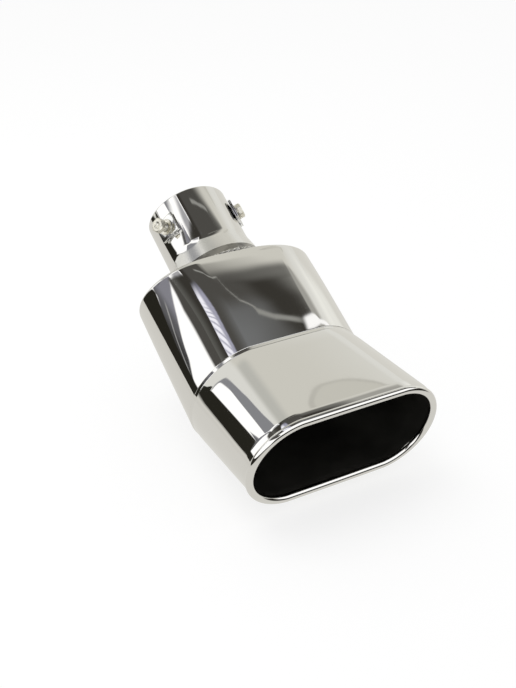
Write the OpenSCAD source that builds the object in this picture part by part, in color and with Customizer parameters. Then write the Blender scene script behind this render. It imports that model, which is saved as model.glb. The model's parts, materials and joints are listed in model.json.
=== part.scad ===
/* [Inlet neck] */
// Outside diameter of the inlet neck
neck_od = 63; // [50:0.5:70]
// Sheet thickness of the inlet neck
neck_wall = 1.5; // [1:0.1:2.5]
// Length of the straight part of the neck
neck_len = 44; // [34:1:60]
// Length of the flared foot along the neck's axis
foot_len = 23; // [15:0.5:30]
// Outside diameter of the foot where it is welded on
foot_od = 73; // [66:0.5:76]
// How far the weld reaches out over the rear shell
weld_leg = 1.5; // [1:0.1:2.5]
// How far the weld climbs up the foot
weld_rise = 6.5; // [3:0.5:8]

/* [Rear shell] */
// Outside width of the flat-oval rear shell
rear_w = 136; // [110:1:170]
// Outside height of the rear shell at the bend
rear_h = 88; // [80:1:110]
// Distance along the inlet axis from the bend to the weld of the neck
rear_len = 92; // [80:1:130]
// Length of the rounded shoulder along the inlet axis
shoulder_len = 6; // [4:0.5:16]
// Angle by which the shoulder is out of square, with its left-hand side further from the bend
shoulder_skew = 2; // [0:0.5:4]
// How much the half height falls towards the neck, in a smooth curve
rear_fall = 5.5; // [0:0.5:6]
// Distance along the inlet axis from the bend to where that fall starts
fall_start = 40; // [30:1:60]
// Sheet thickness of both shells
shell_wall = 1.5; // [1:0.1:2.5]

/* [Front shell] */
// Turn between the inlet axis and the front shell
bend = 30; // [15:1:40]
// Distance from the bend to the middle of the outlet
front_len = 85; // [60:1:120]
// Outside width of the outlet over its lip
outlet_w = 144; // [120:1:180]
// Outside height of the outlet over its lip
outlet_h = 75; // [60:1:90]
// Lean of the outlet plane, with its top edge further out
outlet_lean = 14; // [0:1:20]
// Radius of the rolled lip
lip_r = 2.75; // [2:0.05:3.5]
// How far the lip stands proud of the sheet behind it
lip_proud = 0.6; // [0.2:0.1:1]

/* [Clamp hardware] */
// Distance from the neck's mouth to the clamp screws
clamp_back = 20; // [14:0.5:28]
// Size of the clip plate across the neck
clip_w = 17; // [14:0.5:20]
// Size of the clip plate along the neck
clip_l = 16; // [13:0.5:18]
// Sheet thickness of the clips
clip_t = 1; // [0.8:0.1:1.3]
// Thread diameter of the clamp screws
screw_d = 6; // [5:0.5:6]
// Width across the flats of the screw heads
head_af = 10; // [9:0.5:11]
// Height of the screw heads
head_h = 3.6; // [3:0.1:4.5]
// How far the left screw is backed out
backed_out = 5; // [0:0.5:8]

/* [Hidden] */

// Smoothness of round work
round_fn = 96;
small_fn = 32;
hex_sides = 6;
// Steps round each rounded end of an oval, and along each of its flat sides
end_steps = 28;
flat_steps = 4;
flat_zone = 6;

neck_r = neck_od / 2;
bore_r = neck_r - neck_wall;
foot_r = foot_od / 2;
foot_hole_r = foot_r - neck_wall;
inlet_reach = rear_len + foot_len + neck_len;
shoulder_start = rear_len - shoulder_len;
// Room between the top of the mitre and the first full ring of the rear shell
mitre_gap = 2;
// The weld lies in the corner between the foot and a flat seat on the shell's end
seat_r = foot_r + weld_leg;
weld_steps = 8;

// Folded clips: two leaves with a threaded collar that drops through a hole in the neck
fold_gap = 0.3;
clip_top = neck_r + 2 * clip_t + fold_gap;
collar_wall = 1;
collar_r = screw_d / 2 + collar_wall;
collar_clear = 0.3;
thread_clear = 0.05;
tip_clear = 0.1;
lug_w = 2.6;
lug_l = 1.2;
lug_apart = 9;
lug_clear = 0.05;
clip_angle = [150, 30, 270];
washer_rim = 0.8;
washer_r = head_af / 2 + washer_rim;
washer_t = 1.2;
washer_clear = 0.25;
head_r = head_af / 2 / cos(180 / hex_sides);
head_chamfer = 0.5;
chamfer_angle = 30;

// Angles round an oval, counted from its right-hand end
end_turn = (180 - 2 * flat_zone) / end_steps;
flat_turn = 2 * flat_zone / flat_steps;
half_angles = concat(
    [for (i = [0:end_steps - 1]) flat_zone - 90 + i * end_turn],
    [for (i = [0:flat_steps - 1]) 90 - flat_zone + i * flat_turn]);
ring_angles = concat(half_angles, [for (a = half_angles) a + 180]);
ring_n = len(ring_angles);

// Runs from 1 at the right-hand end to -1 at the left-hand one across the flat zones
function side_of(a) =
    let (b = a > 180 ? 360 - a : abs(a))
    max(-1, min(1, (90 - b) / flat_zone));

// Flat oval with round ends; hw and hh are its half width and half height
function oval(hw, hh) = [for (a = ring_angles)
    [hh * cos(a) + (hw - hh) * side_of(a), hh * sin(a)]];

// Fall of the rounded shoulder, from 0 at its start to 1 at its end
shoulder_power = 2.5;
function fall(t) = 1 - pow(1 - pow(max(0, min(1, t)), shoulder_power), 1 / shoulder_power);

// Half height of the rear shell before its shoulder, at s along the inlet axis from the bend
function rear_half(s) = rear_h / 2
    - rear_fall * pow(max(0, s - fall_start) / (rear_len - fall_start), 2);

// How far a point of the rear shell is moved along the axis, because the shoulder is out of square
function skewed(x, s) = -x * tan(shoulder_skew) * min(1, s / shoulder_start);

// One ring of the rear shell, in the frame of the inlet axis, where z = 0 is the neck's mouth
function rear_ring(s, inset) =
    let (f = fall((s - shoulder_start) / shoulder_len),
         hh = (rear_half(s) - inset) * (1 - f) + seat_r * f,
         hw = (rear_w / 2 - inset) * (1 - f) + seat_r * f)
    [for (p = oval(hw, hh)) [p[0], -p[1], s - inset * f + skewed(p[0], s) * (1 - f) - inlet_reach]];

// Round ring on the inlet axis
function round_ring(s, r) = [for (p = oval(r, r)) [p[0], -p[1], s - inlet_reach]];

// Outline of the mitre, where both shells meet, as seen along the inlet axis
function mitre(inset) = oval(rear_w / 2 - inset, rear_h / 2 - inset);

// A ring at the outlet, inset from the lip's outside and moved out of the lip's plane
function outlet_ring(inset, out) = [for (p = oval(outlet_w / 2 - inset, outlet_h / 2 - inset))
    [p[0],
     -front_len - p[1] * sin(outlet_lean) - out * cos(outlet_lean),
     p[1] * cos(outlet_lean) - out * sin(outlet_lean)]];

// A ring of the rolled lip, at the given angle round the roll and radius of the sheet's face
function lip_ring(a, r) = outlet_ring(lip_r - r * sin(a), r * cos(a));

// Skins a list of rings, and closes the last ring onto the first
module ring_tube(rings) {
    count = len(rings);
    faces = [for (k = [0:count - 1]) for (i = [0:ring_n - 1])
        let (k2 = (k + 1) % count, i2 = (i + 1) % ring_n)
        [k * ring_n + i, k2 * ring_n + i, k2 * ring_n + i2, k * ring_n + i2]];
    polyhedron([for (ring = rings) for (p = ring) p], faces, convexity = 6);
}

// Places children on the inlet axis, with +Z out of the neck's mouth and -Y upwards
module on_inlet() {
    rotate([bend - 90, 0, 0]) children();
}

// Places children at the bend, where the front shell starts
module at_bend() {
    translate([0, -inlet_reach * cos(bend), -inlet_reach * sin(bend)]) children();
}

// Turns children to a clamp screw: +Z away from the neck's axis, +X towards the foot
module at_clamp(side) {
    translate([0, 0, -clamp_back]) rotate([0, 0, -clip_angle[side]]) rotate([0, 90, 0]) children();
}

// Drawn sleeve that slips over the tailpipe, with its flared foot
module inlet_neck() {
    color("silver") on_inlet() difference() {
        rotate_extrude($fn = round_fn) polygon([
            [bore_r, 0], [neck_r, 0], [neck_r, -neck_len], [foot_r, -neck_len - foot_len],
            [foot_hole_r, -neck_len - foot_len], [bore_r, -neck_len]]);
        for (side = [0:len(clip_angle) - 1]) at_clamp(side)
            cylinder(h = neck_r + 1, r = collar_r + collar_clear, $fn = small_fn);
    }
}

// Hollow fillet of weld metal between the foot and the end of the rear shell
module neck_weld() {
    cone_slope = (foot_r - neck_r) / foot_len;
    face = [for (i = [0:weld_steps]) let (t = i / weld_steps, z = weld_rise * t)
        [foot_r - cone_slope * z + weld_leg * pow(1 - t, 2), z]];
    color("dimgray") on_inlet() translate([0, 0, -neck_len - foot_len])
        rotate_extrude($fn = round_fn) polygon(concat([[foot_r, 0]], face));
}

// Flat-oval shell from the mitre to the foot of the neck, with a rounded shoulder
module rear_shell() {
    shoulder_steps = [0, 0.3, 0.5, 0.66, 0.79, 0.89, 0.96, 1];
    fall_steps = 6;
    mitre_reach = rear_h / 2 * tan(bend / 2);
    stations = concat([mitre_reach + mitre_gap],
        [for (i = [0:fall_steps - 1]) fall_start + (shoulder_start - fall_start) * i / fall_steps],
        [for (t = shoulder_steps) shoulder_start + t * shoulder_len]);
    last = len(stations) - 1;
    cut = [for (inset = [0, shell_wall])
        [for (p = mitre(inset)) [p[0], -p[1], p[1] * tan(bend / 2) - inlet_reach]]];
    color("silver") on_inlet() ring_tube(concat(
        [cut[1]],
        [for (s = stations) rear_ring(s, shell_wall)],
        [round_ring(rear_len - shell_wall, foot_hole_r), round_ring(rear_len, foot_hole_r)],
        [for (i = [last:-1:0]) rear_ring(stations[i], 0)],
        [cut[0]]));
}

// Flat-oval shell from the mitre to the outlet, whose edge is rolled inwards
module front_shell() {
    skin_turn = 180 - asin(1 - lip_proud / lip_r);
    edge_turn = -150;
    roll_steps = 12;
    roll = [for (i = [0:roll_steps]) skin_turn + (edge_turn - skin_turn) * i / roll_steps];
    cut = [for (inset = [0, shell_wall])
        [for (p = mitre(inset)) [p[0], -p[1] * tan(bend / 2), p[1]]]];
    color("silver") at_bend() ring_tube(concat(
        [cut[0]],
        [outlet_ring(lip_proud, -2 * lip_r)],
        [for (a = roll) lip_ring(a, lip_r)],
        [for (i = [roll_steps:-1:0]) lip_ring(roll[i], lip_r - shell_wall)],
        [outlet_ring(lip_proud + shell_wall, -2 * lip_r)],
        [cut[1]]));
}

// Folded spring-steel clip that holds the thread of one clamp screw
module clip(side) {
    leaf_top = neck_r + clip_t;
    fold_r = (clip_top - neck_r) / 2;
    color("gainsboro") on_inlet() at_clamp(side) difference() {
        union() {
            translate([0, clip_w / 2, neck_r]) rotate([90, 0, 0]) linear_extrude(clip_w) difference() {
                union() {
                    translate([-clip_l / 2 + fold_r, 0]) square([clip_l - fold_r, 2 * fold_r]);
                    translate([-clip_l / 2 + fold_r, fold_r]) circle(r = fold_r, $fn = small_fn);
                }
                translate([-clip_l / 2 + fold_r, clip_t]) square([clip_l, fold_gap]);
            }
            for (y = [-1, 1]) translate([clip_l / 2 - lug_l, y * lug_apart / 2 - lug_w / 2, neck_r - 1])
                cube([2 * lug_l, lug_w, clip_t + 1]);
            translate([0, 0, bore_r + tip_clear]) cylinder(h = leaf_top - bore_r - tip_clear,
                r = collar_r, $fn = small_fn);
        }
        translate([0, 0, bore_r - 1]) cylinder(h = clip_top - bore_r + 2,
            r = screw_d / 2 + thread_clear, $fn = small_fn);
        rotate([0, 90, 0]) difference() {
            cylinder(h = 2 * clip_l, r = neck_r + lug_clear, center = true, $fn = round_fn);
            rotate([0, -90, 0]) cylinder(h = 2 * neck_r, r = collar_r, $fn = small_fn);
        }
    }
}

// Plain washer that lies on a clip
module washer(side) {
    color("lightgray") on_inlet() at_clamp(side) translate([0, 0, clip_top]) difference() {
        cylinder(h = washer_t, r = washer_r, $fn = small_fn);
        translate([0, 0, -1]) cylinder(h = washer_t + 2, r = screw_d / 2 + washer_clear, $fn = small_fn);
    }
}

// Hex-head clamp screw, with its point level with the bore
module screw(side, out) {
    seat = clip_top + washer_t + out;
    tip = bore_r + tip_clear;
    color("darkgray") on_inlet() at_clamp(side) union() {
        translate([0, 0, seat]) intersection() {
            cylinder(h = head_h, r = head_r, $fn = hex_sides);
            rotate_extrude($fn = small_fn) polygon([[0, 0], [head_r, 0], [head_r, head_h - head_chamfer],
                [head_r - head_chamfer / tan(chamfer_angle), head_h], [0, head_h]]);
        }
        translate([0, 0, tip]) cylinder(h = seat - tip, r = screw_d / 2, $fn = small_fn);
    }
}

module clip_left() { clip(0); }
module clip_right() { clip(1); }
module clip_bottom() { clip(2); }
module washer_left() { washer(0); }
module washer_right() { washer(1); }
module washer_bottom() { washer(2); }
module screw_left() { screw(0, backed_out); }
module screw_right() { screw(1, 0); }
module screw_bottom() { screw(2, 0); }

inlet_neck();
neck_weld();
rear_shell();
front_shell();
clip_left();
clip_right();
clip_bottom();
washer_left();
washer_right();
washer_bottom();
screw_left();
screw_right();
screw_bottom();
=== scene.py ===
# %% [markdown]
# # A flat-oval exhaust tip in polished stainless steel
# The tip is two pressed shells welded in a mitred bend, a round neck that slips over the tailpipe,
# and clamp screws that hold it there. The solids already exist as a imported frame, at their real
# size and place. This lesson gives each of them its finished surface.

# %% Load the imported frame
import json
import math
import bmesh
import bpy
from mathutils import Matrix, Vector

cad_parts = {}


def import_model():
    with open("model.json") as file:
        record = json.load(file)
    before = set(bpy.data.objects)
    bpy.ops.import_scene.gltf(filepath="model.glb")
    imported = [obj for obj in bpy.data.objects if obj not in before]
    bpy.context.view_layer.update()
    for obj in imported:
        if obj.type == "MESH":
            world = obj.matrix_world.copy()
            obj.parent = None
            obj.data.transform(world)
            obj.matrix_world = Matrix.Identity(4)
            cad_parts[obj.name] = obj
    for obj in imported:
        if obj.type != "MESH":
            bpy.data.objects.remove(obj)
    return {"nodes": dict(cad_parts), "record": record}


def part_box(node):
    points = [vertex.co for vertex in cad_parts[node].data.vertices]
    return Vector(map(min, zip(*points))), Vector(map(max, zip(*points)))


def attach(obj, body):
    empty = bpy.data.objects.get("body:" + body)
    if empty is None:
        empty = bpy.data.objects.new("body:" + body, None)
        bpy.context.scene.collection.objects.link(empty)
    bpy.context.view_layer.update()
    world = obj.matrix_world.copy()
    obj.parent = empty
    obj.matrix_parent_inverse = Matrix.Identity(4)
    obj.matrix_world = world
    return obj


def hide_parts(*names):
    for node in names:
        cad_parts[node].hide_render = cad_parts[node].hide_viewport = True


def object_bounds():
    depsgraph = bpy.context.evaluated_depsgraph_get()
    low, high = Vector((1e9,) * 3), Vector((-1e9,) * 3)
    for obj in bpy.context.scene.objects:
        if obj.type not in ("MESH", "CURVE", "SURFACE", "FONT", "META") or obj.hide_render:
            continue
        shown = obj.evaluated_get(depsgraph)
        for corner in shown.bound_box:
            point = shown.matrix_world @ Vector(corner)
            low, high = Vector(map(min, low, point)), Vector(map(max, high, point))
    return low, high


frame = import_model()
cad_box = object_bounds()
print("solids in the frame:", ", ".join(sorted(frame["nodes"])))

# %% [markdown]
# ## Sizes
# The inlet mount says where the neck's axis lies, which way it points and how wide its bore is.
# Outside widths are measured on the solids. The rest are the real sizes of the sheet metal.

# %% Measure the frame
MM = 0.001
BODY = "root"
mount = frame["record"]["mounts"][0]
mouth = Vector(mount["pos_m"])
inlet_axis = Vector(mount["axis"]).normalized()
bend = math.asin(inlet_axis.z)
inlet_up = Vector((0, -math.sin(bend), math.cos(bend)))
bore_r = mount["dims"]["r_mm"] * MM
neck_len = mount["dims"]["length_mm"] * MM
foot_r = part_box("inlet_neck")[1].x
rear_w = 2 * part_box("rear_shell")[1].x

neck_wall = 1.5 * MM
foot_len = 23 * MM
weld_leg = 1.5 * MM
weld_rise = 6.5 * MM
rear_h = 88 * MM
rear_len = 92 * MM
shoulder_len = 6 * MM
shoulder_skew = math.radians(2)
rear_fall = 5.5 * MM
fall_start = 40 * MM
shell_wall = 1.5 * MM
front_len = 85 * MM
outlet_w = 144 * MM
outlet_h = 75 * MM
outlet_lean = math.radians(14)
lip_r = 2.75 * MM
lip_proud = 0.6 * MM
neck_r = bore_r + neck_wall
bend_centre = mouth - inlet_axis * (rear_len + foot_len + neck_len)
print(f"bend {math.degrees(bend):.0f} degrees, neck {2000 * neck_r:.0f} mm wide, "
      f"shell {1000 * rear_w:.0f} mm wide")


# %% [markdown]
# ## Places on the two axes
# The bend joins two straight axes, so two small functions turn "across, up, along" into a place
# in the row's frame. Everything behind the bend uses the first, everything in front the second.

# %% Turn across, up and along into a place
def inlet_place(across, up, along):
    """A place on the inlet axis, with along counted from the bend towards the neck's mouth."""
    return bend_centre + Vector((across, 0, 0)) + inlet_up * up + inlet_axis * along


def outlet_place(across, out, up):
    """A place on the outlet's level axis, with out counted from the bend towards the outlet."""
    return bend_centre + Vector((across, -out, up))


# %% [markdown]
# ## The flat oval
# A flat oval is two half circles joined by flats. On a pressed shell the flats are crowned a
# little, or they would drum, so each flat here is the last few degrees of a wide arc.
# Mirror polish shows every facet, so the rings have many more points than the solids.

# %% Points round a flat oval
END_STEPS = 112
FLAT_STEPS = 28
FLAT_ZONE = 6


def oval_angles():
    """Angles round the oval, evenly over each round end and evenly over each flat."""
    end_turn = (180 - 2 * FLAT_ZONE) / END_STEPS
    flat_turn = 2 * FLAT_ZONE / FLAT_STEPS
    half = [FLAT_ZONE - 90 + i * end_turn for i in range(END_STEPS)]
    half += [90 - FLAT_ZONE + i * flat_turn for i in range(FLAT_STEPS)]
    return half + [a + 180 for a in half]


def oval(half_w, half_h):
    """Points (across, up) of a flat oval with round ends."""
    points = []
    for a in oval_angles():
        away = 360 - a if a > 180 else abs(a)
        side = max(-1, min(1, (90 - away) / FLAT_ZONE))
        across = half_h * math.cos(math.radians(a)) + (half_w - half_h) * side
        points.append((across, half_h * math.sin(math.radians(a))))
    return points


def steps(start, end, count):
    """Values in even steps from start to end, both included."""
    return [start + (end - start) * i / count for i in range(count + 1)]


print("points in a ring:", len(oval_angles()))


# %% [markdown]
# ## Skinning rings
# A shell is a stack of rings: out along its outer face and back along its inner one, so the wall
# is closed. Quads between equal rings give clean smooth shading, and edges that turn sharply
# are marked sharp so that a rim stays crisp.

# %% Skin a closed stack of rings
SHARP = math.radians(32)


def linked(name, data):
    """An object of the scene that shows some data."""
    made = bpy.data.objects.new(name, data)
    bpy.context.scene.collection.objects.link(made)
    return made


def finished(name, mesh, materials=()):
    """Links a mesh as a smooth object with crisp edges."""
    mesh.shade_smooth()
    mesh.set_sharp_from_angle(angle=SHARP)
    for material in materials:
        mesh.materials.append(material)
    return linked(name, mesh)


def as_mesh(build, mesh):
    """Writes a bmesh to a mesh."""
    build.to_mesh(mesh)
    build.free()
    return mesh


def skin(name, rings, dark=range(0)):
    """Skins rings with quads; faces that start at one of the dark rings get material 1."""
    count = len(rings[0])
    faces = []
    marks = []
    for k in range(len(rings)):
        near, far = k * count, (k + 1) % len(rings) * count
        for i in range(count):
            j = (i + 1) % count
            faces.append((near + i, near + j, far + j, far + i))
            marks.append(1 if k in dark else 0)
    mesh = bpy.data.meshes.new(name)
    mesh.from_pydata([p for ring in rings for p in ring], [], faces)
    mesh.polygons.foreach_set("material_index", marks)
    build = bmesh.new()
    build.from_mesh(mesh)
    bmesh.ops.recalc_face_normals(build, faces=build.faces)
    return as_mesh(build, mesh)


# %% [markdown]
# ## The rear shell
# From the mitre the rear shell runs straight, then its height falls in a smooth curve, and it
# rolls over a rounded shoulder to the flat seat where the neck is welded on.
# The real shoulder is a little out of square, and the mirror finish makes that plain to see.

# %% Rings of the rear shell
REAR_STATIONS = 44
SHOULDER_STATIONS = 22
SHOULDER_POWER = 2.5
MITRE_CLEAR = 2 * MM
mitre_slope = math.tan(bend / 2)
rear_start = rear_h / 2 * mitre_slope + MITRE_CLEAR
shoulder_start = rear_len - shoulder_len
seat_r = foot_r + weld_leg
edge_break = 0.45 * MM
edge_support = 0.3 * MM
EDGE_STEPS = 4


def shoulder_fall(t):
    """0 at the shoulder's start and 1 at the seat."""
    t = max(0.0, min(1.0, t))
    return 1 - (1 - t ** SHOULDER_POWER) ** (1 / SHOULDER_POWER)


def rear_ring(along, inset):
    """One ring of the rear shell, inset from its outer face."""
    fall = shoulder_fall((along - shoulder_start) / shoulder_len)
    drop = rear_fall * (max(0.0, along - fall_start) / (rear_len - fall_start)) ** 2
    half_h = (rear_h / 2 - drop - inset) * (1 - fall) + seat_r * fall
    half_w = (rear_w / 2 - inset) * (1 - fall) + seat_r * fall
    skew = math.tan(shoulder_skew) * (1 - fall) * min(1.0, along / shoulder_start)
    return [inlet_place(x, v, along - inset * fall - x * skew) for x, v in oval(half_w, half_h)]


def round_ring(along, r):
    """A round ring on the inlet axis."""
    return [inlet_place(x, v, along) for x, v in oval(r, r)]


def rear_mitre_ring(inset, back):
    """The ring where the rear shell meets the front one, moved back along the axis."""
    points = oval(rear_w / 2 - inset, rear_h / 2 - inset)
    return [inlet_place(x, v, v * mitre_slope + back) for x, v in points]


def rear_rings():
    """The closed stack of rings, and how many of them lie on the outer face."""
    stations = steps(rear_start, shoulder_start, REAR_STATIONS)[:-1]
    stations += [shoulder_start + shoulder_len * math.sin(a)
                 for a in steps(0, math.pi / 2, SHOULDER_STATIONS)]
    outer = [rear_mitre_ring(edge_break * (1 - math.sin(a)), edge_break * (1 - math.cos(a)))
             for a in steps(0, math.pi / 2, EDGE_STEPS)]
    outer.append(rear_mitre_ring(0, edge_break + edge_support))
    outer += [rear_ring(s, 0) for s in stations]
    rim = [round_ring(s, foot_r - neck_wall) for s in (rear_len, rear_len - shell_wall)]
    inner = [rear_ring(s, shell_wall) for s in reversed(stations)]
    inner.append(rear_mitre_ring(shell_wall, 0))
    return outer + rim + inner, len(outer) + 1


rings, outer_count = rear_rings()
rear_mesh = skin("rear_skin", rings, range(outer_count, len(rings) - 1))
print("rear shell faces:", len(rear_mesh.polygons))

# %% [markdown]
# ## The front shell and its rolled lip
# The front shell widens and flattens to the outlet, and its edge is rolled inwards round a small
# radius. The roll is part of the same sheet, so it is part of the same stack of rings.
# The weld at the mitre was ground and polished, which leaves a narrow strip just in front of it.
# The strip falls a little towards the outlet and ends at a fine groove, and the sheet beyond it
# rises out of a soft hollow.

# %% Rings of the front shell
FRONT_STATIONS = 36
ROLL_STEPS = 56
ROLL_END = math.radians(-150)
strip_w = 2.6 * MM
strip_slope = math.tan(math.radians(8))
hollow_len = 12 * MM
hollow_depth = 0.45 * MM
groove = 0.07 * MM
groove_step = 0.15 * MM
HOLLOW_STEPS = 16
roll_start = math.pi - math.asin(1 - lip_proud / lip_r)
sheet_len = front_len - 2 * lip_r


def front_mitre_ring(inset, out):
    """The ring where the front shell meets the rear one, moved out along the level axis."""
    points = oval(rear_w / 2 - inset, rear_h / 2 - inset)
    return [outlet_place(x, v * mitre_slope + out, v) for x, v in points]


def outlet_ring(inset, out):
    """A ring at the outlet, inset from the lip's outside and moved out of the lip's plane."""
    points = oval(outlet_w / 2 - inset, outlet_h / 2 - inset)
    return [outlet_place(x, front_len + v * math.sin(outlet_lean) + out * math.cos(outlet_lean),
                         v * math.cos(outlet_lean) - out * math.sin(outlet_lean)) for x, v in points]


def lip_ring(turn, r):
    """A ring of the rolled lip, at an angle round the roll."""
    return outlet_ring(lip_r - r * math.sin(turn), r * math.cos(turn))


def between(first, last, t):
    """A ring part of the way from one ring to another."""
    return [a.lerp(b, t) for a, b in zip(first, last)]


def sheet_ring(away, inset):
    """A ring of the outer sheet at a distance from the seam, inset from the straight sheet."""
    start = front_mitre_ring(inset, 0)
    end = outlet_ring(lip_proud + inset, -2 * lip_r)
    return between(start, end, away / sheet_len)


def seam_inset(away):
    """How far the sheet lies in near the seam: a ground strip, then a soft hollow."""
    if away < strip_w:
        return hollow_depth - (strip_w - away) * strip_slope
    return hollow_depth * max(0.0, 1 - (away - strip_w) / hollow_len) ** 2


def front_rings():
    """The closed stack of rings, and how many of them lie on the outer face."""
    hollow_end = strip_w + hollow_len
    groove_end = strip_w + 2 * groove_step
    places = [0.0, strip_w / 2] + [strip_w + i * groove_step for i in range(-2, 3)]
    places += steps(groove_end, hollow_end, HOLLOW_STEPS)[1:]
    places += steps(hollow_end, sheet_len, FRONT_STATIONS)[1:]
    outer = [sheet_ring(d, seam_inset(d) + (groove if d == strip_w else 0)) for d in places]
    turns = steps(roll_start, ROLL_END, ROLL_STEPS)
    outer += [lip_ring(turn, lip_r) for turn in turns]
    inner = [lip_ring(turn, lip_r - shell_wall) for turn in reversed(turns)]
    inner_end = outlet_ring(lip_proud + shell_wall, -2 * lip_r)
    inner_start = front_mitre_ring(shell_wall, 0)
    inner += [between(inner_end, inner_start, t) for t in steps(0, 1, FRONT_STATIONS)]
    return outer + inner, len(outer)


rings, outer_count = front_rings()
front_mesh = skin("front_skin", rings, range(outer_count, len(rings) - 1))
print("front shell faces:", len(front_mesh.polygons))

# %% [markdown]
# ## The neck
# The neck is a turned shape: a straight sleeve with a flared foot. It is one profile swept round
# the inlet axis, with a wide, soft radius where the sleeve starts to flare.

# %% Sweep the neck's profile round its axis
NECK_SEGMENTS = 224
edge_r = 0.4 * MM
crease_r = 26 * MM
support = 0.4 * MM
BREAK_STEPS = 4
CREASE_STEPS = 6


def arc(centre, r, start, end, count):
    """Points on an arc, with angles in degrees."""
    turns = [math.radians(a) for a in steps(start, end, count)]
    return [(centre[0] + r * math.cos(a), centre[1] + r * math.sin(a)) for a in turns]


def lathe(name, profile, dark=range(0)):
    """Sweeps a closed (radius, height) profile round the inlet axis."""
    turns = steps(0, 2 * math.pi, NECK_SEGMENTS)[:-1]
    rings = [[inlet_place(r * math.cos(a), r * math.sin(a), z) for a in turns] for r, z in profile]
    return skin(name, rings, dark)


def neck_profile():
    """The sleeve and its foot, from the mouth down the outside and back up the bore."""
    flare = math.degrees(math.atan2(foot_r - neck_r, foot_len))
    rise = crease_r * math.tan(math.radians(flare / 2))
    top = rear_len + foot_len + neck_len
    crease = rear_len + foot_len
    outer = arc((neck_r - edge_r, top - edge_r), edge_r, 90, 0, BREAK_STEPS)
    outer += [(neck_r, top - edge_r - support), (neck_r, crease + rise + support)]
    outer += arc((neck_r + crease_r, crease + rise), crease_r, 180, 180 + flare, CREASE_STEPS)
    outer += [(foot_r - (foot_r - neck_r) * t, rear_len + foot_len * t) for t in (0.9, 0.0)]
    inner = [(foot_r - neck_wall, rear_len), (bore_r, crease), (bore_r, crease + support)]
    inner += [(bore_r, top - edge_r - support), (bore_r, top - edge_r), (bore_r + edge_r / 2, top)]
    return outer + inner, len(outer)


profile, outer_count = neck_profile()
neck_mesh = lathe("neck_sleeve", profile, range(outer_count, len(profile) - 2))
print("neck faces:", len(neck_mesh.polygons))

# %% [markdown]
# ## The clamp's own axes
# Three clamp screws stand round the neck, 120 degrees apart. Their parts are modelled once, lying
# at angle 0: outwards is +X, round the neck is +Y, and towards the foot is +Z from the mouth.
# One turn about X and one move then put the whole ring on the inlet axis.

# %% Places at a clamp screw
CLAMP_COUNT = 3
CLAMP_START = math.radians(30)
CLAMP_STEP = math.radians(120)
LOOSE_ANGLE = math.radians(150)
CLAMP_TILT = math.radians(90) + bend
clamp_back = 20 * MM
clip_w = 17 * MM
clip_l = 16 * MM
clip_t = 1 * MM
fold_gap = 0.3 * MM
screw_r = 3 * MM
collar_r = 4 * MM
head_flats = 10 * MM
head_h = 3.6 * MM
backed_out = 5 * MM
washer_r = 5.8 * MM
washer_t = 1.2 * MM
tip_back = 0.1 * MM
clip_top = neck_r + 2 * clip_t + fold_gap
washer_top = clip_top + washer_t
screw_tip = bore_r + tip_back


def at_clamp(along, across, out):
    """A place in the clamp's own axes; along is towards the foot, out is away from the axis."""
    return Vector((out, across, clamp_back + along))


print(f"clamps {1000 * clamp_back:.0f} mm behind the mouth, clip top at radius {1000 * clip_top:.1f} mm")

# %% [markdown]
# ## Solid parts
# Every small part is a closed mesh. Screws, washers, collars and even the cutters for the holes
# are rings of points whose radius follows a rule, so one function turns them all. Corners that
# light would catch get a narrow bevel, and holes are cut with an exact boolean.

# %% Turn, bevel and cut solid parts
TURN_STEPS = 96
POST_STEPS = 48
MERGE_DIST = 1e-7
CRISP = math.radians(40)
BEVEL_STEPS = 2


def solid(name, build, bevel=0.0):
    """Turns a bmesh into a mesh with outward faces and lightly broken edges."""
    bmesh.ops.remove_doubles(build, verts=build.verts, dist=MERGE_DIST)
    bmesh.ops.recalc_face_normals(build, faces=build.faces)
    if bevel:
        crisp = [e for e in build.edges if e.is_manifold and e.calc_face_angle() > CRISP]
        bmesh.ops.bevel(build, geom=crisp, offset=bevel, segments=BEVEL_STEPS, profile=0.5,
                        affect="EDGES", clamp_overlap=True)
    return as_mesh(build, bpy.data.meshes.new(name))


def turned(name, levels, radius, count=TURN_STEPS, open_ends=False):
    """A part whose radius at each level and angle is given by a function."""
    build = bmesh.new()
    angles = steps(0, 2 * math.pi, count)[:-1]
    rings = [[build.verts.new(at_clamp(radius(k, a) * math.cos(a), radius(k, a) * math.sin(a), w))
              for a in angles] for k, w in enumerate(levels)]
    pairs = list(zip(rings, rings[1:]))
    if open_ends:
        pairs.append((rings[-1], rings[0]))
    for near, far in pairs:
        for i in range(count):
            j = (i + 1) % count
            build.faces.new((near[i], near[j], far[j], far[i]))
    if not open_ends:
        build.faces.new(rings[0])
        build.faces.new(rings[-1])
    return solid(name, build)


def post(r, low, high):
    """A plain round cutter that stands at the clamp, from one height to another."""
    return turned("post", [low, high], lambda k, a: r, POST_STEPS)


def plain_mesh(name, *used):
    """The mesh that the first object's modifier makes; the objects are then removed."""
    graph = bpy.context.evaluated_depsgraph_get()
    result = bpy.data.meshes.new_from_object(used[0].evaluated_get(graph))
    result.name = name
    for part in used:
        bpy.data.objects.remove(part)
    return result


def cut(mesh, cutter):
    """Takes one mesh out of another with an exact boolean."""
    body, tool = linked("cut_body", mesh), linked("cut_tool", cutter)
    modifier = body.modifiers.new("cut", "BOOLEAN")
    modifier.operation = "DIFFERENCE"
    modifier.solver = "EXACT"
    modifier.object = tool
    return plain_mesh(mesh.name, body, tool)


def joined(name, *meshes):
    """Several meshes as one."""
    build = bmesh.new()
    for mesh in meshes:
        build.from_mesh(mesh)
    return as_mesh(build, bpy.data.meshes.new(name))


# %% [markdown]
# ## Adding nodes
# Repeated parts, materials and light are all node trees. One function adds a node with its
# settings and fills each input with a value or with another node's output. An output knows its
# own tree, so the small functions for sums and ranges need no more than their values.

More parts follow.
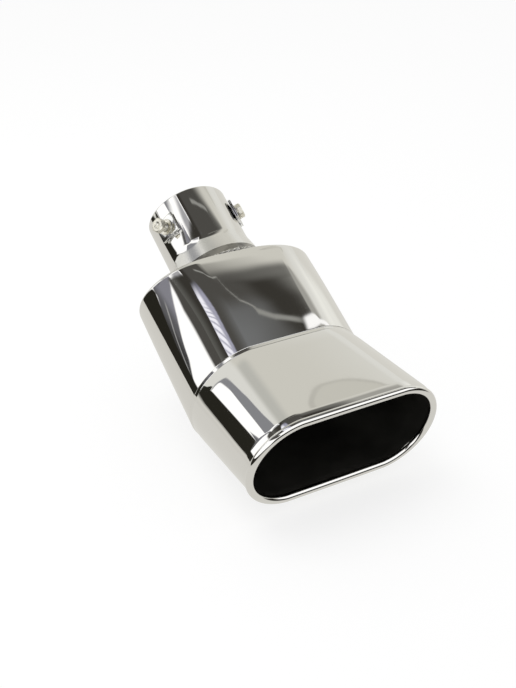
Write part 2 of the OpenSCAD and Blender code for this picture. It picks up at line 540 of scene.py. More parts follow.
# %% Add nodes to a tree
def fill(node, inputs):
    """Gives each input, found by name or number, a value or another node's output."""
    for name, value in inputs.items():
        if isinstance(value, bpy.types.NodeSocket):
            node.id_data.links.new(value, node.inputs[name])
        else:
            node.inputs[name].default_value = value


def put(tree, kind, inputs=None, **settings):
    """Adds a node and gives its outputs."""
    node = tree.nodes.new(kind)
    for name, value in settings.items():
        setattr(node, name, value)
    fill(node, inputs or {})
    return node.outputs


def maths(operation, *values, kind="ShaderNodeMath"):
    """A Math node's result for values that are numbers or other nodes' outputs."""
    tree = next(v for v in values if isinstance(v, bpy.types.NodeSocket)).id_data
    return put(tree, kind, dict(enumerate(values)), operation=operation)[0]


def ranged(value, low, high, start=0.0, end=1.0, **settings):
    """Draws a value that lies between start and end out from low to high."""
    return put(value.id_data, "ShaderNodeMapRange", {
        "Value": value, "From Min": start, "From Max": end, "To Min": low, "To Max": high}, **settings)[0]


# %% [markdown]
# ## A ring of copies
# Whatever repeats round the neck is one Geometry Nodes tree: it makes a few points, puts a copy of
# the template on each, turns each copy by its own angle and then tilts the ring on to the axis.
# The weld needs the same last steps, so they are a function of their own.

# %% Build the ring tree
def new_tree(name, sockets):
    """A Geometry Nodes tree with named inputs, and what its input node gives."""
    tree = bpy.data.node_groups.new(name, "GeometryNodeTree")
    for socket, kind in [("Geometry", "Geometry"), ("Tilt", "Float"), ("Centre", "Vector"),
                         ("Material", "Material")] + sockets:
        tree.interface.new_socket(socket, in_out="INPUT", socket_type="NodeSocket" + kind)
    tree.interface.new_socket("Geometry", in_out="OUTPUT", socket_type="NodeSocketGeometry")
    return tree, put(tree, "NodeGroupInput")


def set_down(tree, given, copies):
    """Makes the copies real, tilts and moves them on to the axis and gives them their material."""
    real = put(tree, "GeometryNodeRealizeInstances", {0: copies})[0]
    tilt = put(tree, "ShaderNodeCombineXYZ", {"X": given["Tilt"]})[0]
    placed = put(tree, "GeometryNodeTransform", {
        "Geometry": real, "Rotation": tilt, "Translation": given["Centre"]})[0]
    return put(tree, "GeometryNodeSetMaterial", {"Geometry": placed, "Material": given["Material"]})[0]


def clamp_ring_tree():
    """The tree that repeats a template round the neck."""
    tree, given = new_tree("clamp_ring", [
        ("Count", "Int"), ("Start Angle", "Float"), ("Step Angle", "Float")])
    points = put(tree, "GeometryNodePoints", {"Count": given["Count"]})[0]
    number = put(tree, "GeometryNodeInputIndex")[0]
    turn = maths("MULTIPLY_ADD", number, given["Step Angle"], given["Start Angle"])
    turns = put(tree, "ShaderNodeCombineXYZ", {"Z": turn})[0]
    copies = put(tree, "GeometryNodeInstanceOnPoints", {
        "Points": points, "Instance": given["Geometry"], "Rotation": turns})[0]
    put(tree, "NodeGroupOutput", {"Geometry": set_down(tree, given, copies)})
    return tree


def grown(name, mesh, tree, values):
    """Runs a tree on a mesh with the named values and gives the plain mesh it makes."""
    seed = linked(name, mesh)
    modifier = seed.modifiers.new(tree.name, "NODES")
    modifier.node_group = tree
    for item in tree.interface.items_tree:
        if item.in_out == "INPUT" and values.get(item.name) is not None:
            modifier[item.identifier] = values[item.name]
    return plain_mesh(name, seed)


clamp_ring = clamp_ring_tree()


def ring_of(name, template, count=CLAMP_COUNT, start=CLAMP_START, material=None):
    """Copies of a template round the neck, as one plain mesh."""
    return grown(name, template, clamp_ring, {
        "Count": count, "Start Angle": start, "Step Angle": CLAMP_STEP, "Tilt": CLAMP_TILT,
        "Centre": tuple(mouth), "Material": material})


print("ring tree:", len(clamp_ring.nodes), "nodes")

# %% [markdown]
# ## Holes in the neck
# Each clip's threaded collar drops through a clearance hole in the sleeve. The holes are cut from
# the turned neck by three posts, which are themselves a ring of copies.

# %% Cut the neck's holes
COLLAR_PLAY = 0.3 * MM
POST_REACH = 3 * MM

hole_post = post(collar_r + COLLAR_PLAY, bore_r - POST_REACH, neck_r + POST_REACH)
neck_mesh = cut(neck_mesh, ring_of("hole_posts", hole_post))
print("neck faces with its holes:", len(neck_mesh.polygons))

# %% [markdown]
# ## Steel
# Polished stainless steel is a metal with almost no roughness. Its look is what it mirrors, and
# the hand of the polisher: very faint waves from the buffing wheel, and hairlines along the part.
# The wheel doesn't reach well into the flare of the neck's foot, so the foot has a satin share.

# %% Polished steel, and the inside with painted shade
STEEL_COLOUR = (0.80, 0.79, 0.77, 1)
WAVE_SCALE = 22.0
WAVE_STRENGTH = 0.06
WAVE_DEPTH = 0.004
HAIR_SCALE = (900, 12, 12)
MIRROR_ROUGH = (0.015, 0.055)
SATIN = 0.17
SATIN_FADE = 4 * MM
SATIN_END = 0.4 * MM
MOTTLE_SCALE = 60.0
INSIDE_METAL = 0.6
# Painted shade: the inside's colour is nearly black for the hollow of the tip, mottled at random.
INSIDE_SHADE_DARK = (0.013, 0.013, 0.011)
INSIDE_SHADE_LIGHT = (0.05, 0.048, 0.042)
INSIDE_ROUGH = (0.4, 0.7)


def new_material(name):
    """A material with its tree, its shader and its object coordinates."""
    material = bpy.data.materials.new(name)
    material.use_nodes = True
    tree = material.node_tree
    return material, tree, tree.nodes["Principled BSDF"], put(tree, "ShaderNodeTexCoord")["Object"]


def noise(place, scale, detail):
    """A fine noise over a place."""
    return put(place.id_data, "ShaderNodeTexNoise", {
        "Vector": place, "Scale": scale, "Detail": detail})["Fac"]


def dents(height, strength, depth):
    """Small dents that follow a height."""
    return put(height.id_data, "ShaderNodeBump", {
        "Strength": strength, "Distance": depth, "Height": height})[0]


def tinted(value, *stops):
    """A colour that follows a value between two stops, each a position and a colour."""
    ramp = value.id_data.nodes.new("ShaderNodeValToRGB")
    fill(ramp, {0: value})
    for stop, (position, colour) in zip(ramp.color_ramp.elements, stops):
        stop.position = position
        stop.color = colour + (1,)
    return ramp.outputs[0]


def satin_share(place):
    """The roughness that the foot has on top: it grows below the crease and ends at the weld."""
    along = put(place.id_data, "ShaderNodeVectorMath", {0: place, 1: inlet_axis},
                operation="DOT_PRODUCT")["Value"]
    crease, foot_end = -neck_len, -neck_len - foot_len
    fade = ranged(along, SATIN, 0.0, crease - SATIN_FADE, crease, interpolation_type="SMOOTHSTEP")
    return maths("MULTIPLY", fade, ranged(along, 0.0, 1.0, foot_end - SATIN_END, foot_end))


def polished_steel():
    """Mirror-polished sheet with faint buffing waves and hairlines, and a satin foot."""
    material, tree, shader, place = new_material("polished_steel")
    stretch = put(tree, "ShaderNodeMapping", {"Vector": place, "Scale": HAIR_SCALE})[0]
    hair = ranged(noise(stretch, 1.0, 3.0), *MIRROR_ROUGH)
    fill(shader, {"Base Color": STEEL_COLOUR, "Metallic": 1.0,
                  "Roughness": maths("ADD", hair, satin_share(place)),
                  "Normal": dents(noise(place, WAVE_SCALE, 1.0), WAVE_STRENGTH, WAVE_DEPTH)})
    return material


def shaded_inside_steel():
    """The unpolished inside of the tip: rough, with a nearly black colour that is painted shade for its
    hollow.
    """
    material, tree, shader, place = new_material("shaded_inside_steel")
    mottle = noise(place, MOTTLE_SCALE, 6.0)
    fill(shader, {"Metallic": INSIDE_METAL, "Roughness": ranged(mottle, *INSIDE_ROUGH),
                  "Base Color": tinted(mottle, (0.0, INSIDE_SHADE_DARK), (1.0, INSIDE_SHADE_LIGHT))})
    return material


steel = polished_steel()
inside = shaded_inside_steel()
for name, mesh, node in (("rear_skin", rear_mesh, "rear_shell"), ("front_skin", front_mesh, "front_shell"),
                         ("neck_sleeve", neck_mesh, "inlet_neck")):
    piece = finished(name, mesh, (steel, inside))
    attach(piece, BODY)
    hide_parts(node)
    print(name, "stands for", node)

# %% [markdown]
# ## Finishes of the small parts
# The clips are bright spring steel. The screws and washers are zinc plated, which is a warmer,
# paler metal with fine grain. Every small part gets painted shade in its corners. The weld's drops are left
# as they were laid, uneven and part bright, and the fillet's darker colour is a painted reflection of the
# dark that its hollow mirrors.

# %% Zinc, spring steel and weld metal
DARK_STOP = 0.35
LIGHT_STOP = 0.6
DENT_DEPTH = 0.0002
CORNER_REACH = 0.0012
CORNER_SAMPLES = 16
CORNER_SHADE = 0.25


def small_steel(name, light, dark, rough_range, grain, dent):
    """A slightly uneven metal: colour and roughness follow a fine noise, and an occlusion node paints shade
    into its corners.
    """
    material, tree, shader, place = new_material(name)
    uneven = noise(place, grain, 4.0)
    # Painted shade: the occlusion node darkens the colour wherever corners and crevices close in.
    corner = put(tree, "ShaderNodeAmbientOcclusion", {"Distance": CORNER_REACH}, samples=CORNER_SAMPLES)
    colour = put(tree, "ShaderNodeMix", {
        "Factor": corner["AO"], 6: tuple(CORNER_SHADE * c for c in dark) + (1,),
        7: tinted(uneven, (DARK_STOP, dark), (LIGHT_STOP, light))}, data_type="RGBA")[2]
    fill(shader, {"Base Color": colour, "Metallic": 1.0, "Roughness": ranged(uneven, *rough_range),
                  "Normal": dents(uneven, dent, DENT_DEPTH)})
    return material


zinc = small_steel("zinc_plate", (0.90, 0.88, 0.80), (0.70, 0.67, 0.56), (0.24, 0.40), 700.0, 0.08)
spring_steel = small_steel("spring_steel", (0.90, 0.90, 0.88), (0.78, 0.78, 0.76), (0.10, 0.18),
                           300.0, 0.02)
weld_metal = small_steel("weld_metal", (0.80, 0.79, 0.75), (0.42, 0.41, 0.37), (0.12, 0.32), 260.0, 0.4)
# Painted reflection: the fillet's dark colour stands for the dark crescent that its hollow mirrors.
fillet_painted_dark = small_steel("fillet_painted_dark", (0.30, 0.29, 0.27), (0.13, 0.125, 0.115), (0.08, 0.2),
                           120.0, 0.05)


def fit(name, mesh, slot, *solids):
    """Links a finished piece, fixes it to the body and hides the solids it stands for."""
    piece = finished(name, mesh)
    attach(piece, BODY)
    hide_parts(*solids)
    print(name, "has", len(mesh.polygons), "faces")


# %% [markdown]
# ## Clips
# A clip is a strip of spring steel folded over, so that two leaves lie one on the other with a
# hair of air between them. Two lugs bend down at the open end and rest on the neck, and a collar
# below carries the thread. The leaves are flat and the neck is round, so their edges stand off
# it, which gives the black line under them in the picture.

# %% Fold the clip
LUG_L = 1.2 * MM
LUG_W = 2.6 * MM
LUG_APART = 9 * MM
LUG_OVERLAP = 0.1 * MM
LUG_REACH = 0.25 * MM
FOLD_STEPS = 10
SHEET_BEVEL = 0.06 * MM
LUG_BEVEL = 0.05 * MM
SCREW_PLAY = 0.05 * MM
COLLAR_BREAK = 0.2 * MM
COLLAR_OVERLAP = 0.3 * MM
BLOCK_FACES = ((0, 1, 3, 2), (4, 5, 7, 6), (0, 1, 5, 4), (2, 3, 7, 6), (0, 2, 6, 4), (1, 3, 7, 5))


def sheet_profile():
    """The folded sheet seen from its side, as (along, out) points in order."""
    fold_outer = clip_t + fold_gap / 2
    fold_inner = fold_gap / 2
    middle = neck_r + fold_outer
    bend_at = -clip_l / 2 + fold_outer
    loop = [(clip_l / 2, neck_r), (clip_l / 2, neck_r + clip_t)]
    loop += arc((bend_at, middle), fold_inner, -90, -270, FOLD_STEPS)
    loop += [(clip_l / 2, neck_r + clip_t + fold_gap), (clip_l / 2, clip_top)]
    return loop + arc((bend_at, middle), fold_outer, -90, -270, FOLD_STEPS)[::-1]


def clip_sheet():
    """The two leaves with their fold, pierced for the screw."""
    build = bmesh.new()
    loop = sheet_profile()
    ends = [[build.verts.new(at_clamp(u, side * clip_w / 2, w)) for u, w in loop] for side in (-1, 1)]
    for i in range(len(loop)):
        j = (i + 1) % len(loop)
        build.faces.new((ends[0][i], ends[0][j], ends[1][j], ends[1][i]))
    for end in ends:
        build.faces.new(end)
    sheet = solid("clip_sheet", build, bevel=SHEET_BEVEL)
    return cut(sheet, post(screw_r + SCREW_PLAY, bore_r, clip_top + clip_t))


def clip_lugs():
    """The two lugs at the open end."""
    build = bmesh.new()
    for side in (-1, 1):
        middle = side * LUG_APART / 2
        low = (clip_l / 2 - LUG_OVERLAP, middle - LUG_W / 2, neck_r - LUG_REACH)
        high = (clip_l / 2 + LUG_L, middle + LUG_W / 2, neck_r + clip_t - LUG_OVERLAP)
        corners = [build.verts.new(at_clamp(*((low, high)[i >> k & 1][k] for k in range(3))))
                   for i in range(8)]
        for loop in BLOCK_FACES:
            build.faces.new([corners[i] for i in loop])
    return solid("clip_lugs", build, bevel=LUG_BEVEL)


def clip_collar():
    """The threaded collar under the leaves."""
    hole, top = screw_r + SCREW_PLAY, neck_r + COLLAR_OVERLAP
    loop = [(hole, screw_tip), (collar_r - COLLAR_BREAK, screw_tip), (collar_r, screw_tip + COLLAR_BREAK),
            (collar_r, top), (hole, top)]
    return turned("clip_collar", [w for r, w in loop], lambda k, a: loop[k][0], POST_STEPS, open_ends=True)


clip_template = joined("clip_template", clip_sheet(), clip_lugs(), clip_collar())
fit("clamp_clips", ring_of("clamp_clips", clip_template, material=spring_steel),
    "clip_steel", "clip_left", "clip_right", "clip_bottom")

# %% [markdown]
# ## Washers and screws
# A washer is a turned ring with broken edges. A screw head is a hexagon whose corners are cut by a
# cone, with a thin round face below it, and the thread is a groove that climbs one pitch a turn.

# %% Turn the washers and screws
WASHER_PLAY = 0.25 * MM
WASHER_SOFT = 0.15 * MM
CORNER_CUT = math.radians(2.0)
FACE_INSET = 0.3 * MM
FACE_RISE_MM = 0.25
CONE_START_MM = 0.9
CONE_STEP_MM = 0.1
CONE_STEPS = 10
CONE_DEPTH = 0.75 * MM
CONE_SLOPE = math.tan(math.radians(30))
DISH = ((4.2 * MM, 0.0), (2.8 * MM, 0.0), (2.4 * MM, 0.25 * MM), (0.6 * MM, 0.3 * MM))
THREAD_PITCH = 1.0 * MM
THREAD_DEPTH = 0.5 * MM
THREAD_STEPS = 10
THREAD_POWER = 1.5
SHANK_OVERLAP = 0.1 * MM


def washer_template():
    """A plain washer that lies on the clip."""
    hole, soft = screw_r + WASHER_PLAY, WASHER_SOFT
    loop = [(hole + soft, clip_top), (washer_r - soft, clip_top), (washer_r, clip_top + soft),
            (washer_r, washer_top - soft), (washer_r - soft, washer_top), (hole + soft, washer_top),
            (hole, washer_top - soft), (hole, clip_top + soft)]
    return turned("washer_template", [w for r, w in loop], lambda k, a: loop[k][0], open_ends=True)


def hexagon(a):
    """Radius of the hexagon at an angle, with its corners cut a little."""
    off = abs((a + math.pi / 6) % (math.pi / 3) - math.pi / 6)
    return head_flats / 2 / math.cos(min(off, math.pi / 6 - CORNER_CUT))


def head_template(seat):
    """A hexagon head with a washer face, a chamfered top and a shallow dished crown."""
    corner = head_flats / 2 / math.cos(math.pi / 6)
    face_r = head_flats / 2 - FACE_INSET
    rise = [0.0, FACE_RISE_MM, FACE_RISE_MM, 2 * FACE_RISE_MM]
    rise += [head_h / MM - CONE_START_MM + CONE_STEP_MM * i for i in range(CONE_STEPS)]
    caps = [face_r, face_r, corner, corner]
    caps += [corner - max(0.0, r * MM - head_h + CONE_DEPTH) / CONE_SLOPE for r in rise[4:]]
    levels = [seat + r * MM for r in rise] + [seat + head_h - depth for r, depth in DISH]
    caps += [r for r, depth in DISH]
    return turned("head_template", levels, lambda k, a: min(caps[k], hexagon(a)))


def thread_template(low, high):
    """The threaded shank between two heights."""
    count = max(2, round((high - low) / THREAD_PITCH * THREAD_STEPS))
    levels = steps(low, high, count)

    def groove(k, a):
        turns = (levels[k] - low) / THREAD_PITCH - a / (2 * math.pi)
        return screw_r - THREAD_DEPTH * abs(2 * (turns % 1) - 1) ** THREAD_POWER

    return turned("thread_template", levels, groove)


def screw_template(name, seat):
    """A whole screw whose head lies at a height."""
    return joined(name, head_template(seat), thread_template(screw_tip, seat + SHANK_OVERLAP))


fit("clamp_washers", ring_of("clamp_washers", washer_template(), material=zinc),
    "screw_steel", "washer_left", "washer_right", "washer_bottom")
seated = screw_template("seated_template", washer_top)
fit("seated_screws", ring_of("seated_screws", seated, 2, CLAMP_START - CLAMP_STEP, zinc),
    "screw_steel", "screw_right", "screw_bottom")
loose = screw_template("loose_template", washer_top + backed_out)
fit("loose_screw", ring_of("loose_screw", loose, 1, LOOSE_ANGLE, zinc),
    "screw_steel", "screw_left")

# %% [markdown]
# ## The weld
# The foot of the neck is joined to the shell by a fillet of weld metal. Its face was dressed to a
# smooth hollow that feathers out on the foot, but the toe on the shell still shows the ripples of
# the weld pool. A tree strings drops of metal along a circle, each with its own size, as the
# welder's hand did.

# %% Lay the weld bead
FILLET_STEPS = 18
FEATHER = 1.4
FILLET_SINK = 0.2 * MM
TOE_OUT = 1.0 * MM
TOE_RISE = 1.2 * MM
DROP_SIZE = {"Drop Length": 2.3 * MM, "Drop Width": 2.8 * MM, "Drop Height": 2.5 * MM}
DROP_SPACING = 0.85 * MM
UNEVENNESS = 0.42
WELD_SEED = 7


def weld_fillet():
    """The hollow fillet between the foot's cone and the shell."""
    slope = (foot_r - neck_r) / foot_len
    profile = [(foot_r - FILLET_SINK, rear_len)]
    for t in steps(0, 1, FILLET_STEPS):
        rise = FEATHER * weld_rise * t
        profile.append((foot_r - slope * rise + weld_leg * (1 - t) ** 2, rear_len + rise))
    profile.append((foot_r - slope * FEATHER * weld_rise - FILLET_SINK, rear_len + FEATHER * weld_rise))
    return lathe("weld_fillet", profile)


def uneven_size(tree, given):
    """A random size for each drop, round the given one."""
    low, high = (put(tree, "ShaderNodeVectorMath", {0: (1, 1, 1), 1: given["Unevenness"]},
                     operation=operation)[0] for operation in ("SUBTRACT", "ADD"))
    share = put(tree, "FunctionNodeRandomValue", {"Min": low, "Max": high, "Seed": given["Seed"]},
                data_type="FLOAT_VECTOR")[0]
    size = put(tree, "ShaderNodeCombineXYZ", {
        "X": given["Drop Width"], "Y": given["Drop Height"], "Z": given["Drop Length"]})[0]
    return maths("MULTIPLY", size, share, kind="ShaderNodeVectorMath")


def bead_tree():
    """The tree that strings drops of weld metal round the toe."""
    tree, given = new_tree("weld_bead", [
        ("Toe Radius", "Float"), ("Drop Length", "Float"), ("Drop Width", "Float"), ("Drop Height", "Float"),
        ("Unevenness", "Float"), ("Drops", "Int"), ("Seed", "Int")])
    toe = put(tree, "GeometryNodeCurvePrimitiveCircle", {"Radius": given["Toe Radius"]})["Curve"]
    spots = put(tree, "GeometryNodeCurveToPoints", {"Curve": toe, "Count": given["Drops"]})
    drop = put(tree, "GeometryNodeMeshUVSphere", {"Segments": 12, "Rings": 7, "Radius": 0.5})["Mesh"]
    copies = put(tree, "GeometryNodeInstanceOnPoints", {
        "Points": spots["Points"], "Instance": drop, "Rotation": spots["Rotation"],
        "Scale": uneven_size(tree, given)})[0]
    joint = put(tree, "GeometryNodeJoinGeometry", {0: set_down(tree, given, copies)})[0]
    tree.links.new(given["Geometry"], joint.node.inputs[0])
    put(tree, "NodeGroupOutput", {"Geometry": joint})
    return tree


fillet = weld_fillet()
fillet.materials.append(fillet_painted_dark)
toe_r = foot_r + TOE_OUT
bead_mesh = grown("neck_weld_bead", fillet, bead_tree(), {
    "Toe Radius": toe_r, "Drops": round(2 * math.pi * toe_r / DROP_SPACING), "Seed": WELD_SEED,
    "Unevenness": UNEVENNESS, "Tilt": CLAMP_TILT, "Centre": tuple(inlet_place(0, 0, rear_len + TOE_RISE)),
    "Material": weld_metal, **DROP_SIZE})
fit("neck_weld_bead", bead_mesh, "weld_metal", "neck_weld")

# %% [markdown]
# ## Masks and paint
# Chrome shows its surroundings, so the studio is part of the finish. Everything that the steel
# mirrors is painted with a few functions: a mask is 1 inside an area and 0 outside it, with edges
# as soft as the picture's, and paint lays a colour over what is there.

# %% Paint with masks
def step_up(value, edge, soft):
    """0 below the edge and 1 above it, with a soft change of the given width."""
    return ranged(value, 0.0, 1.0, edge - soft / 2, edge + soft / 2, interpolation_type="SMOOTHSTEP")


def below(value, edge, soft):
    """1 below the edge and 0 above it."""
    return maths("SUBTRACT", 1.0, step_up(value, edge, soft))


def band(value, low, high, soft_low, soft_high):
    """1 between two edges and 0 outside them."""
    return maths("SUBTRACT", step_up(value, low, soft_low), step_up(value, high, soft_high))


def follow(value, *corners):
    """A bent line: each corner is a value and the result there, with straight runs between."""
    total = corners[0][1]
    for (start, low), (end, high) in zip(corners, corners[1:]):
        total = maths("ADD", total, ranged(value, 0.0, high - low, start, end))
    return total


def past(value, line, soft):
    """0 before a bent line and 1 after it."""
    return step_up(maths("SUBTRACT", value, line), 0.0, soft)


def before(value, line, soft):
    """1 before a bent line and 0 after it."""
    return below(maths("SUBTRACT", value, line), 0.0, soft)


def both(*masks):
    """The area that all the masks share."""
    mask = masks[0]
    for other in masks[1:]:
        mask = maths("MULTIPLY", mask, other)
    return mask


def paint(under, *layers):
    """Lays colours over what is there, one after another; each layer is a colour and its masks."""
    for colour, *masks in layers:
        under = under + (1,) if isinstance(under, tuple) else under
        under = put(masks[0].id_data, "ShaderNodeMix", {"Factor": both(*masks), 6: under, 7: colour + (1,)},
                    data_type="RGBA")[2]
    return under


def by_ray(tree, kind, others, chosen):
    """One shader for rays of a kind, and another for all other rays."""
    share = put(tree, "ShaderNodeLightPath")[kind]
    return put(tree, "ShaderNodeMixShader", {0: share, 1: others, 2: chosen})[0]


def grey(value):
    """An even grey."""
    return (value, value, value, 1)


# %% [markdown]
# ## The studio
# Metal mirrors a panorama of soft-edged areas, placed by their turn round the horizon and their
# height above it, both in degrees: pale walls and floor, a white window, and a dark band at the
# horizon, which the rolled lip shows as its dark lines. Every other surface gets an even grey
# light, and the camera sees plain white.

# %% Paint the panorama
DEGREES = 180 / math.pi
PLAIN_LIGHT = 0.75
PALE = (0.62, 0.61, 0.57)
UPPER_WALL = (0.78, 0.77, 0.72)
WINDOW = (1.3, 1.3, 1.3)
DARK = (0.022, 0.021, 0.016)
SIDE_LIGHT = (0.96, 0.96, 0.91)
FLOOR = (0.74, 0.73, 0.69)

world = bpy.data.worlds.new("studio")
bpy.context.scene.world = world
world.use_nodes = True
studio = world.node_tree
studio.nodes.clear()
looked = put(studio, "ShaderNodeTexCoord")["Generated"]
east, north, up = put(studio, "ShaderNodeSeparateXYZ", {0: looked})
turn = maths("MULTIPLY", maths("ARCTAN2", east, maths("MULTIPLY", north, -1.0)), DEGREES)
height = maths("MULTIPLY", maths("ARCSINE", up), DEGREES)

sky = paint(
    PALE,
    (UPPER_WALL, step_up(height, -16, 8)),
    (WINDOW, band(turn, -160, 60, 10, 30), step_up(height, 8, 4)),
    (DARK, band(turn, -155, -112, 6, 8), band(height, -11, 6, 6, 8)),
    (DARK, band(turn, -114, 80, 4, 20), band(height, -16, 15, 4, 4)),
    (SIDE_LIGHT, band(turn, 92, 114, 12, 10), band(height, 4, 34, 10, 10)),
    (FLOOR, below(height, -16, 10)))

plain, mirrored, white = (put(studio, "ShaderNodeBackground", {"Color": colour})[0]
                          for colour in (grey(PLAIN_LIGHT), sky, grey(1.0)))
seen = by_ray(studio, "Is Camera Ray", by_ray(studio, "Is Glossy Ray", plain, mirrored), white)
put(studio, "ShaderNodeOutputWorld", {0: seen})
print("nodes in the panorama:", len(studio.nodes))

# %% [markdown]
# ## The cards of the light tent
# A far panorama looks the same from every point of the part. The walls of a small light tent do
# not: they are close, so their edges bend across the steel. Two cards that only mirrors can see
# stand for them, a ceiling and a left-hand wall. Each is painted by its own function of the place
# on it, in metres. Their edges were found by following the picture's stripes back to the cards.

# %% A card that only mirrors see
TENT_LEFT = -0.30
TENT_TOP = 0.30
TENT_FRONT = -0.70
TENT_BACK = 0.80
TENT_RIGHT = 0.80
TENT_FOOT = -0.135
BEIGE = (0.72, 0.71, 0.65)
LIGHT = (0.84, 0.84, 0.80)
GREY = (0.28, 0.285, 0.305)
SHADE = (0.085, 0.082, 0.075)
DEEP_SHADE = (0.045, 0.042, 0.036)


def staged_sheet(name, corners):
    """A rectangle of the studio and the empty tree of its material."""
    mesh = bpy.data.meshes.new(name)
    mesh.from_pydata(corners, [], [(0, 1, 2, 3)])
    sheet = linked(name, mesh)
    material = bpy.data.materials.new(name)
    material.use_nodes = True
    material.node_tree.nodes.clear()
    mesh.materials.append(material)
    return sheet, material.node_tree


def card(name, corners, glow):
    """A rectangle that only mirrors can see, lit by a colour made by the glow function."""
    sheet, tree = staged_sheet(name, corners)
    place = put(tree, "ShaderNodeSeparateXYZ", {0: put(tree, "ShaderNodeTexCoord")["Object"]})
    lamp = put(tree, "ShaderNodeEmission", {"Color": glow(*place)})[0]
    put(tree, "ShaderNodeOutputMaterial", {0: lamp})
    for ray in ("camera", "diffuse", "shadow", "transmission"):
        setattr(sheet, "visible_" + ray, False)
    print(name, "is painted with", len(tree.nodes), "nodes")


# %% [markdown]
# ## The ceiling
# The ceiling is beige cloth with a dark opening over the tip, whose edge gives the rear shell its
# black field. A cool strip light runs along the left edge of the opening, a grey window frame
# stands to the left of it, and a thin cord and a small glint break the plain cloth.

# %% Paint the ceiling
CREAM = (1.0, 1.0, 0.95)
DULL = (0.58, 0.58, 0.54)
PATCH = (0.45, 0.45, 0.47)
HALF_LIGHT = (0.42, 0.415, 0.385)
VEIL = (0.21, 0.208, 0.193)
MID_HAZE = (0.19, 0.195, 0.20)
LEFT_HAZE = (0.13, 0.13, 0.12)
STRIP_FOOT = (0.11, 0.11, 0.14)
STRIP = (0.42, 0.42, 0.53)
STRIP_LIT = (1.1, 1.1, 1.2)
STREAK = (0.46, 0.46, 0.57)
CORD = (0.34, 0.34, 0.32)
GLINT = (1.2, 1.2, 1.2)
HOOP = (0.66, 0.65, 0.59)
HOOP_RIM = (0.58, 0.57, 0.52)
HOOP_CENTRE = (0.265, 0.085)
HOOP_SIZE = (0.058, 0.034)
STREAKS_BACK = 520.0
STREAKS_ACROSS = 190.0
EDGE = 0.012


def cloth(x, y):
    """Beige cloth, brighter at the right, shaded at the back and light at the left."""
    return paint(
        LIGHT,
        (BEIGE, below(x, 0.33, 0.22)),
        (CREAM, step_up(x, 0.54, 0.26), band(y, -0.12, 0.16, 0.1, 0.16)),
        (SHADE, step_up(y, 0.50, 0.1), below(x, 0.10, 0.1)),
        (DULL, band(x, -0.17, 0.0, 0.08, 0.1), below(y, 0.22, 0.1)),
        (LIGHT, below(x, -0.13, 0.08)))


def window_frame(glow, x, y):
    """The top of the window at the left, with its grey frame."""
    frame_top = follow(x, (-0.30, 0.31), (-0.274, 0.263), (-0.226, 0.187), (-0.145, 0.06))
    inside_frame = before(y, frame_top, EDGE)
    return paint(
        glow,
        (WINDOW, inside_frame, below(x, -0.145, 0.006)),
        (GREY, inside_frame, step_up(y, 0.10, 0.03), below(x, -0.17, 0.03)),
        (PATCH, band(x, -0.26, -0.155, 0.08, 0.015), band(y, -0.022, 0.035, 0.02, 0.03)))


def opening(glow, x, y):
    """The dark opening, soft at its right and crisp at its top left, in its half light."""
    right = follow(y, (-0.19, 0.80), (-0.175, 0.24), (-0.13, 0.210), (-0.09, 0.195),
                   (-0.05, 0.185), (-0.01, 0.155), (0.01, 0.135), (0.025, 0.120), (0.05, 0.10))
    top_left = follow(x, (-0.45, 0.09), (-0.30, 0.03), (-0.20, 0.0), (-0.146, -0.01), (-0.144, 0.045))
    softness = follow(y, (-0.12, 0.04), (-0.06, 0.05), (-0.012, 0.19))
    past_right = maths("SUBTRACT", x, right)
    past_half = maths("SUBTRACT", x, follow(y, (-0.15, 0.42), (-0.02, 0.31)))
    dark = both(below(maths("DIVIDE", past_right, softness), 0.0, 1.0), before(y, top_left, EDGE))
    return paint(
        glow,
        (HALF_LIGHT, band(past_half, -0.25, 0.0, 0.1, 0.12), below(y, -0.01, 0.03)),
        (VEIL, band(x, 0.02, 0.215, 0.1, 0.03), below(y, 0.0, 0.04)),
        (SHADE, dark),
        (MID_HAZE, dark, band(x, 0.02, 0.16, 0.16, 0.1), below(y, -0.115, 0.09)),
        (DEEP_SHADE, dark, step_up(past_right, -0.045, 0.03), below(y, -0.045, 0.03)),
        (DEEP_SHADE, dark, below(x, -0.11, 0.03)),
        (LEFT_HAZE, dark, below(x, -0.25, 0.12)))


def strip_light(glow, x, y):
    """The cool strip light, brightest along its left edge, with faint streaks across its far end."""
    left = follow(y, (-0.15, -0.187), (-0.13, -0.181), (-0.07, -0.164), (-0.016, -0.127))
    right = follow(y, (-0.163, -0.085), (-0.12, -0.078), (-0.08, -0.082), (-0.024, -0.09))
    lit_w = follow(y, (-0.14, 0.07), (-0.10, 0.045), (-0.06, 0.035))
    strip = both(past(x, left, EDGE), before(x, right, 0.02))
    lit = before(maths("SUBTRACT", x, left), lit_w, 0.03)
    ripple = maths("ADD", maths("MULTIPLY", y, STREAKS_BACK), maths("MULTIPLY", x, STREAKS_ACROSS))
    return paint(
        glow,
        (STRIP_FOOT, strip, below(y, -0.045, 0.02)),
        (STRIP, strip, below(y, -0.055, 0.05)),
        (STRIP_LIT, strip, lit, below(y, -0.06, 0.05)),
        (STREAK, strip, step_up(maths("SINE", ripple), 0.5, 1.2), below(y, -0.095, 0.04)))


def cord_and_glint(glow, x, y):
    """The thin cord, the window in front of it and the small glint above the seam."""
    cord = follow(x, (-0.02, -0.008), (0.05, -0.013), (0.113, -0.010), (0.116, -0.05), (0.124, -0.095),
                  (0.142, -0.132), (0.165, -0.142), (0.2, -0.15))
    off_cord = maths("SUBTRACT", y, cord)
    top = follow(x, (0.20, -0.147), (0.333, -0.122), (0.481, -0.078))
    foot = follow(x, (0.215, -0.163), (0.456, -0.096))
    return paint(
        glow,
        (CORD, band(off_cord, -0.003, 0.003, 0.004, 0.004), band(x, -0.02, 0.2, 0.02, 0.02)),
        (WINDOW, below(y, -0.37, 0.03)),
        (GLINT, before(y, top, 0.004), past(y, foot, 0.004), step_up(x, 0.203, 0.008)))


